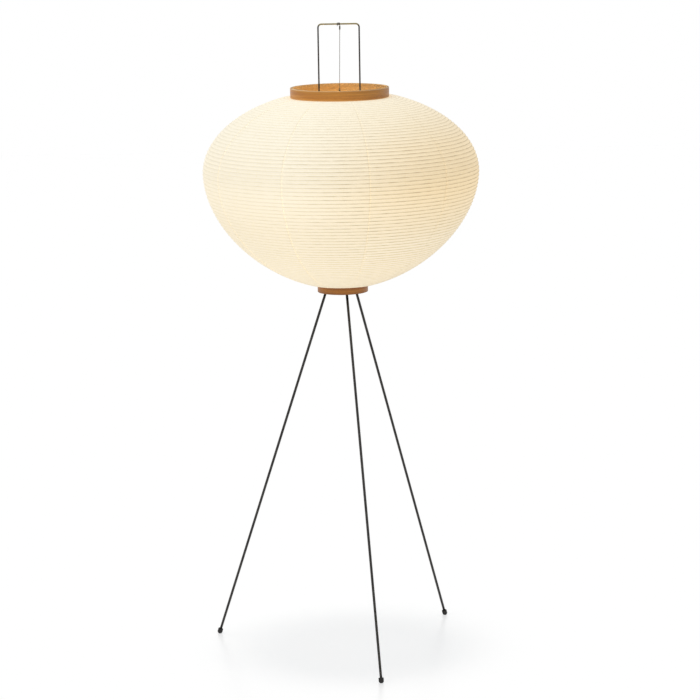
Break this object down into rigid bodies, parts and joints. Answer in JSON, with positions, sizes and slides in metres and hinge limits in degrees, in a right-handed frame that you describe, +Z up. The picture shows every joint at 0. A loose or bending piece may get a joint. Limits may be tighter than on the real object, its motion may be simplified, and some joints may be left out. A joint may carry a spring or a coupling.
{
  "type": "paper lantern floor lamp",
  "caption": "Floor lamp with a ribbed paper lantern shade between wooden hoops, hung on a wire hairpin over a slim splayed steel tripod.",
  "frame": {"origin": "on the floor, on the lantern's upright axis, in the middle of the three feet", "axes": "+Z up, the wire hairpin in the XZ plane, the front of the lamp towards -Y"},
  "size_m": [0.533, 0.5365, 1.2298],
  "materials": {
    "paper": "translucent handmade paper, cream, lit from inside",
    "bamboo": "split bamboo, pale",
    "bent_wood": "bent wood strip, honey brown, satin oil",
    "inner_wood": "bent wood strip, paler, bare",
    "black_steel": "black powder coat, satin",
    "dark_wire": "dark annealed wire",
    "zinc_steel": "zinc plated",
    "rubber": "moulded black rubber",
    "black_plastic": "moulded black phenolic",
    "ceramic": "unglazed white ceramic",
    "brass": "pressed brass",
    "aluminium": "pressed aluminium",
    "bulb_glass": "frosted glass, warm light"
  },
  "bodies": {
    "stand": {"hub_plate": "black_steel", "wire_hairpin": "black_steel", "hairpin_nuts": "zinc_steel", "holder_nipple": "zinc_steel", "nipple_nuts": "zinc_steel", "cord_gland": "black_plastic", "holder_cap": "black_plastic", "holder_shell": "black_plastic", "holder_insulator": "ceramic", "screw_shell": "brass", "centre_contact": "brass", "leg_socket_1": "black_steel", "leg_socket_2": "black_steel", "leg_socket_3": "black_steel"},
    "shade_top": {"top_hoop_outer": "bent_wood", "top_hoop_inner": "inner_wood", "ring_crosswire": "black_steel", "hanger_wire": "dark_wire", "bamboo_ribs": "bamboo", "paper_panel_1": "paper", "paper_panel_2": "paper", "paper_panel_3": "paper", "paper_panel_4": "paper", "paper_panel_5": "paper", "paper_panel_6": "paper", "paper_panel_7": "paper", "paper_panel_8": "paper", "paper_panel_9": "paper", "paper_panel_10": "paper"},
    "shade_bottom": {"bottom_hoop_outer": "bent_wood", "bottom_hoop_inner": "inner_wood"},
    "bulb": {"bulb_glass": "bulb_glass", "bulb_cap": "aluminium", "bulb_contact": "brass"},
    "leg_1_body": {"leg_1": "black_steel", "leg_foot_1": "rubber"},
    "leg_2_body": {"leg_2": "black_steel", "leg_foot_2": "rubber"},
    "leg_3_body": {"leg_3": "black_steel", "leg_foot_3": "rubber"}
  },
  "joints": [
    {"name": "shade_lift", "type": "slide", "parent": "stand", "child": "shade_top", "axis": [0, 0, 1], "range_m": [0, 0.556]},
    {"name": "shade_fold", "type": "slide", "parent": "shade_top", "child": "shade_bottom", "axis": [0, 0, 1], "range_m": [0, 0.321], "deforming": ["bamboo_ribs", "paper_panel_1", "paper_panel_2", "paper_panel_3", "paper_panel_4", "paper_panel_5", "paper_panel_6", "paper_panel_7", "paper_panel_8", "paper_panel_9", "paper_panel_10"]},
    {"name": "bulb_unscrew", "type": "slide", "parent": "stand", "child": "bulb", "axis": [0, 0, 1], "range_m": [0, 0.026]},
    {"name": "leg_1_unscrew", "type": "slide", "parent": "stand", "child": "leg_1_body", "axis": [0.0719, -0.3116, -0.9475], "range_m": [0, 0.018]},
    {"name": "leg_2_unscrew", "type": "slide", "parent": "stand", "child": "leg_2_body", "axis": [0.2339, 0.2181, -0.9475], "range_m": [0, 0.018]},
    {"name": "leg_3_unscrew", "type": "slide", "parent": "stand", "child": "leg_3_body", "axis": [-0.3058, 0.0935, -0.9475], "range_m": [0, 0.018]}
  ]
}
